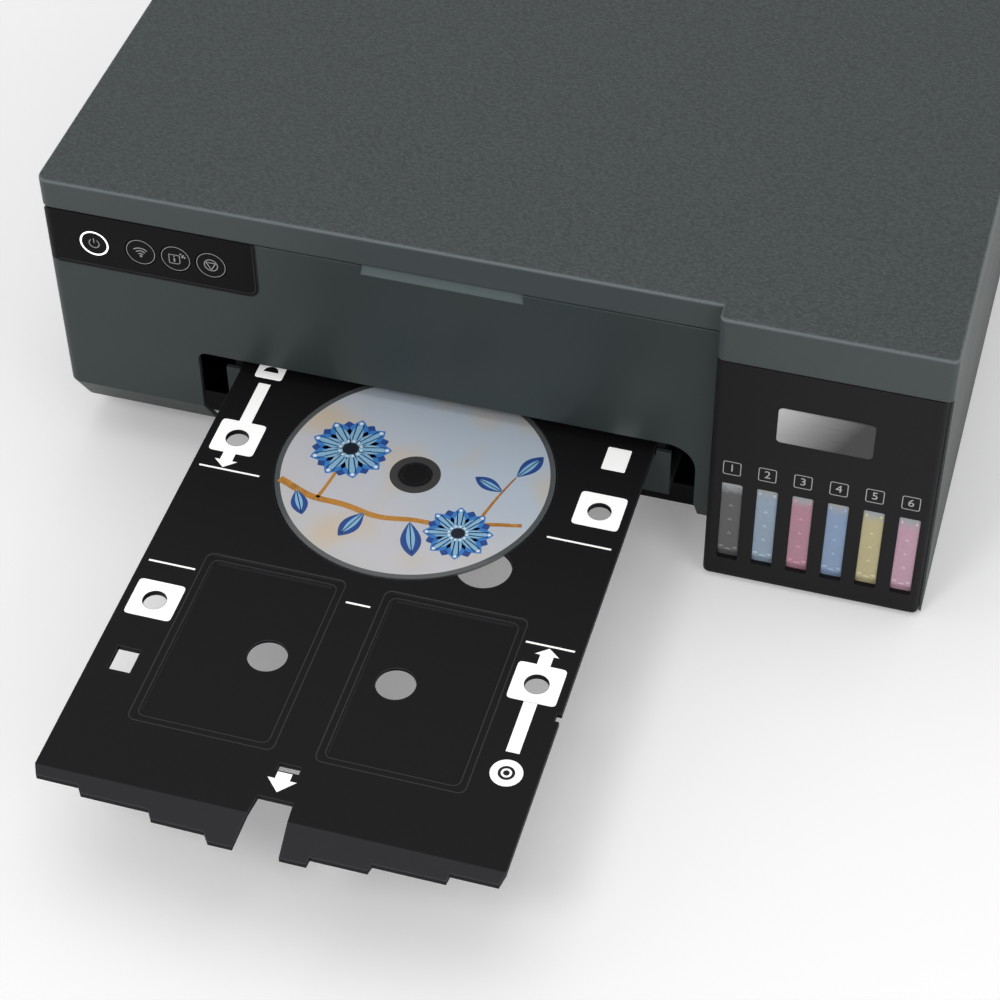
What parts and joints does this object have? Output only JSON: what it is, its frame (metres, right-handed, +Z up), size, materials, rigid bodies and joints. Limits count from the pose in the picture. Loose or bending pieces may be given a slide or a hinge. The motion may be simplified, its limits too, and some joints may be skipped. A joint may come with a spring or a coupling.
{
  "type": "disc label printer",
  "caption": "Flat dark grey ink-tank printer with its disc and card tray pulled out, a printed disc on the tray and coloured ink windows at the right.",
  "frame": {"origin": "on the table, under the middle of the closed body's footprint, at the middle foot", "axes": "+X to the right seen from the front, +Y from the front to the back, +Z up; the disc tray comes out towards -Y"},
  "size_m": [0.397, 0.6027, 0.152],
  "materials": {
    "body_plastic": "fine grained dark grey-green moulding",
    "lid_plastic": "dark grey-green moulding with a leather-like grain",
    "tank_plastic": "nearly black moulding",
    "tray_plastic": "black moulding with a fine grain",
    "button_plastic": "smooth dark grey",
    "light_guide": "white light guide",
    "frosted_tank": "frosted translucent moulding",
    "clear_disc": "clear disc with a printed face",
    "guide_plastic": "black glass-filled moulding",
    "white_acetal": "white low-friction moulding",
    "frame_steel": "zinc-plated sheet",
    "shaft_steel": "ground steel bar",
    "grip_rubber": "dark grip rubber",
    "foot_rubber": "grey rubber",
    "belt_rubber": "reinforced toothed belt",
    "board_green": "glass-fibre circuit board"
  },
  "bodies": {
    "housing": {"base_pan": "guide_plastic", "rubber_feet": "foot_rubber", "front_panel": "body_plastic", "control_panel": "body_plastic", "power_light_ring": "light_guide", "button_board": "board_green", "tank_cover": "tank_plastic", "tank_shelf": "guide_plastic", "left_cover": "body_plastic", "right_cover": "body_plastic", "rear_cover": "body_plastic", "rear_deck": "lid_plastic", "lid_hinge_pins": "shaft_steel", "feed_hopper": "guide_plastic", "tray_guides": "guide_plastic", "left_frame": "frame_steel", "right_frame": "frame_steel", "platen": "guide_plastic", "feed_motor": "frame_steel", "guide_rail": "frame_steel", "drive_belt": "belt_rubber", "carriage_motor": "frame_steel", "capping_station": "guide_plastic", "mainboard": "board_green", "power_supply": "guide_plastic", "ink_tank_1": "frosted_tank", "ink_tank_2": "frosted_tank", "ink_tank_3": "frosted_tank", "ink_tank_4": "frosted_tank", "ink_tank_5": "frosted_tank", "ink_tank_6": "frosted_tank"},
    "power_button": {"power_button": "button_plastic"},
    "network_button": {"network_button": "button_plastic"},
    "info_button": {"info_button": "button_plastic"},
    "stop_button": {"stop_button": "button_plastic"},
    "lid": {"top_lid": "lid_plastic"},
    "paper_support": {"paper_support": "lid_plastic"},
    "edge_guide_left": {"edge_guide_left": "guide_plastic"},
    "edge_guide_right": {"edge_guide_right": "guide_plastic"},
    "pickup_roller": {"pickup_roller": "grip_rubber"},
    "disc_tray": {"disc_tray": "tray_plastic"},
    "disc": {"disc": "clear_disc"},
    "output_tray": {"output_tray": "body_plastic"},
    "output_extension": {"output_extension": "guide_plastic"},
    "feed_shaft": {"feed_roller": "shaft_steel", "feed_gear": "white_acetal"},
    "eject_shaft": {"eject_roller": "grip_rubber", "eject_gear": "white_acetal"},
    "idler_gear": {"idler_gear": "white_acetal"},
    "motor_pinion": {"motor_pinion": "white_acetal"},
    "pinch_rollers": {"pinch_rollers": "white_acetal"},
    "carriage": {"carriage": "guide_plastic"},
    "drive_pulley": {"drive_pulley": "white_acetal"},
    "idler_pulley": {"idler_pulley": "white_acetal"},
    "tank_cap_1": {"tank_cap_1": "tank_plastic"},
    "tank_cap_2": {"tank_cap_2": "tank_plastic"},
    "tank_cap_3": {"tank_cap_3": "tank_plastic"},
    "tank_cap_4": {"tank_cap_4": "tank_plastic"},
    "tank_cap_5": {"tank_cap_5": "tank_plastic"},
    "tank_cap_6": {"tank_cap_6": "tank_plastic"}
  },
  "joints": [
    {"name": "power_press", "type": "slide", "parent": "housing", "child": "power_button", "axis": [0, 1, 0], "range_m": [0, 0.0006], "stiffness_N_per_m": 600},
    {"name": "network_press", "type": "slide", "parent": "housing", "child": "network_button", "axis": [0, 1, 0], "range_m": [0, 0.0006], "stiffness_N_per_m": 600},
    {"name": "info_press", "type": "slide", "parent": "housing", "child": "info_button", "axis": [0, 1, 0], "range_m": [0, 0.0006], "stiffness_N_per_m": 600},
    {"name": "stop_press", "type": "slide", "parent": "housing", "child": "stop_button", "axis": [0, 1, 0], "range_m": [0, 0.0006], "stiffness_N_per_m": 600},
    {"name": "lid_hinge", "type": "hinge", "parent": "housing", "child": "lid", "pos_m": [0, 0.093, 0.149], "axis": [-1, 0, 0], "range_deg": [0, 75]},
    {"name": "support_hinge", "type": "hinge", "parent": "housing", "child": "paper_support", "pos_m": [0, 0.1709, 0.149], "axis": [-1, 0, 0], "range_deg": [0, 105]},
    {"name": "left_guide_slide", "type": "slide", "parent": "housing", "child": "edge_guide_left", "axis": [1, 0, 0], "range_m": [0, 0.055]},
    {"name": "right_guide_slide", "type": "slide", "parent": "housing", "child": "edge_guide_right", "axis": [1, 0, 0], "range_m": [-0.055, 0]},
    {"name": "pickup_spin", "type": "hinge", "parent": "housing", "child": "pickup_roller", "pos_m": [0, 0.1015, 0.097], "axis": [1, 0, 0], "continuous": true},
    {"name": "tray_slide", "type": "slide", "parent": "housing", "child": "disc_tray", "axis": [0, 1, 0], "range_m": [-0.05, 0.225]},
    {"name": "disc_turn", "type": "hinge", "parent": "disc_tray", "child": "disc", "pos_m": [-0.0192, -0.216, 0.0592], "axis": [0, 0, 1], "continuous": true},
    {"name": "output_slide", "type": "slide", "parent": "housing", "child": "output_tray", "axis": [0, -1, 0], "range_m": [0, 0.13]},
    {"name": "extension_slide", "type": "slide", "parent": "output_tray", "child": "output_extension", "axis": [0, -1, 0], "range_m": [0, 0.1]},
    {"name": "feed_spin", "type": "hinge", "parent": "housing", "child": "feed_shaft", "pos_m": [0, 0, 0.05125], "axis": [1, 0, 0], "continuous": true},
    {"name": "idler_spin", "type": "hinge", "parent": "housing", "child": "idler_gear", "pos_m": [0, -0.04, 0.05125], "axis": [1, 0, 0], "continuous": true},
    {"name": "eject_spin", "type": "hinge", "parent": "housing", "child": "eject_shaft", "pos_m": [0, -0.08, 0.05125], "axis": [1, 0, 0], "continuous": true},
    {"name": "pinion_spin", "type": "hinge", "parent": "housing", "child": "motor_pinion", "pos_m": [0, 0.01838, 0.03286], "axis": [1, 0, 0], "continuous": true},
    {"name": "pinch_spin", "type": "hinge", "parent": "housing", "child": "pinch_rollers", "pos_m": [0, 0, 0.0649], "axis": [1, 0, 0], "continuous": true},
    {"name": "carriage_slide", "type": "slide", "parent": "housing", "child": "carriage", "axis": [1, 0, 0], "range_m": [-0.262, 0]},
    {"name": "drive_pulley_spin", "type": "hinge", "parent": "housing", "child": "drive_pulley", "pos_m": [-0.176, -0.006, 0.096], "axis": [0, 0, 1], "range_deg": [-2640, 0]},
    {"name": "idler_pulley_spin", "type": "hinge", "parent": "housing", "child": "idler_pulley", "pos_m": [0.18, -0.006, 0.096], "axis": [0, 0, 1], "range_deg": [-2640, 0]},
    {"name": "cap_1_hinge", "type": "hinge", "parent": "housing", "child": "tank_cap_1", "pos_m": [0.1121, -0.14405, 0.105], "axis": [-1, 0, 0], "range_deg": [0, 110]},
    {"name": "cap_2_hinge", "type": "hinge", "parent": "housing", "child": "tank_cap_2", "pos_m": [0.12736, -0.14405, 0.105], "axis": [-1, 0, 0], "range_deg": [0, 110]},
    {"name": "cap_3_hinge", "type": "hinge", "parent": "housing", "child": "tank_cap_3", "pos_m": [0.14262, -0.14405, 0.105], "axis": [-1, 0, 0], "range_deg": [0, 110]},
    {"name": "cap_4_hinge", "type": "hinge", "parent": "housing", "child": "tank_cap_4", "pos_m": [0.15788, -0.14405, 0.105], "axis": [-1, 0, 0], "range_deg": [0, 110]},
    {"name": "cap_5_hinge", "type": "hinge", "parent": "housing", "child": "tank_cap_5", "pos_m": [0.17314, -0.14405, 0.105], "axis": [-1, 0, 0], "range_deg": [0, 110]},
    {"name": "cap_6_hinge", "type": "hinge", "parent": "housing", "child": "tank_cap_6", "pos_m": [0.1884, -0.14405, 0.105], "axis": [-1, 0, 0], "range_deg": [0, 110]}
  ],
  "couplings": [
    {"joint": "right_guide_slide", "follows": "left_guide_slide", "ratio": -1},
    {"joint": "idler_spin", "follows": "feed_spin", "ratio": -0.81818},
    {"joint": "eject_spin", "follows": "feed_spin", "ratio": 1},
    {"joint": "pinion_spin", "follows": "feed_spin", "ratio": -2.25},
    {"joint": "drive_pulley_spin", "follows": "carriage_slide", "rad_per_m": 173.9},
    {"joint": "idler_pulley_spin", "follows": "carriage_slide", "rad_per_m": 173.9}
  ]
}
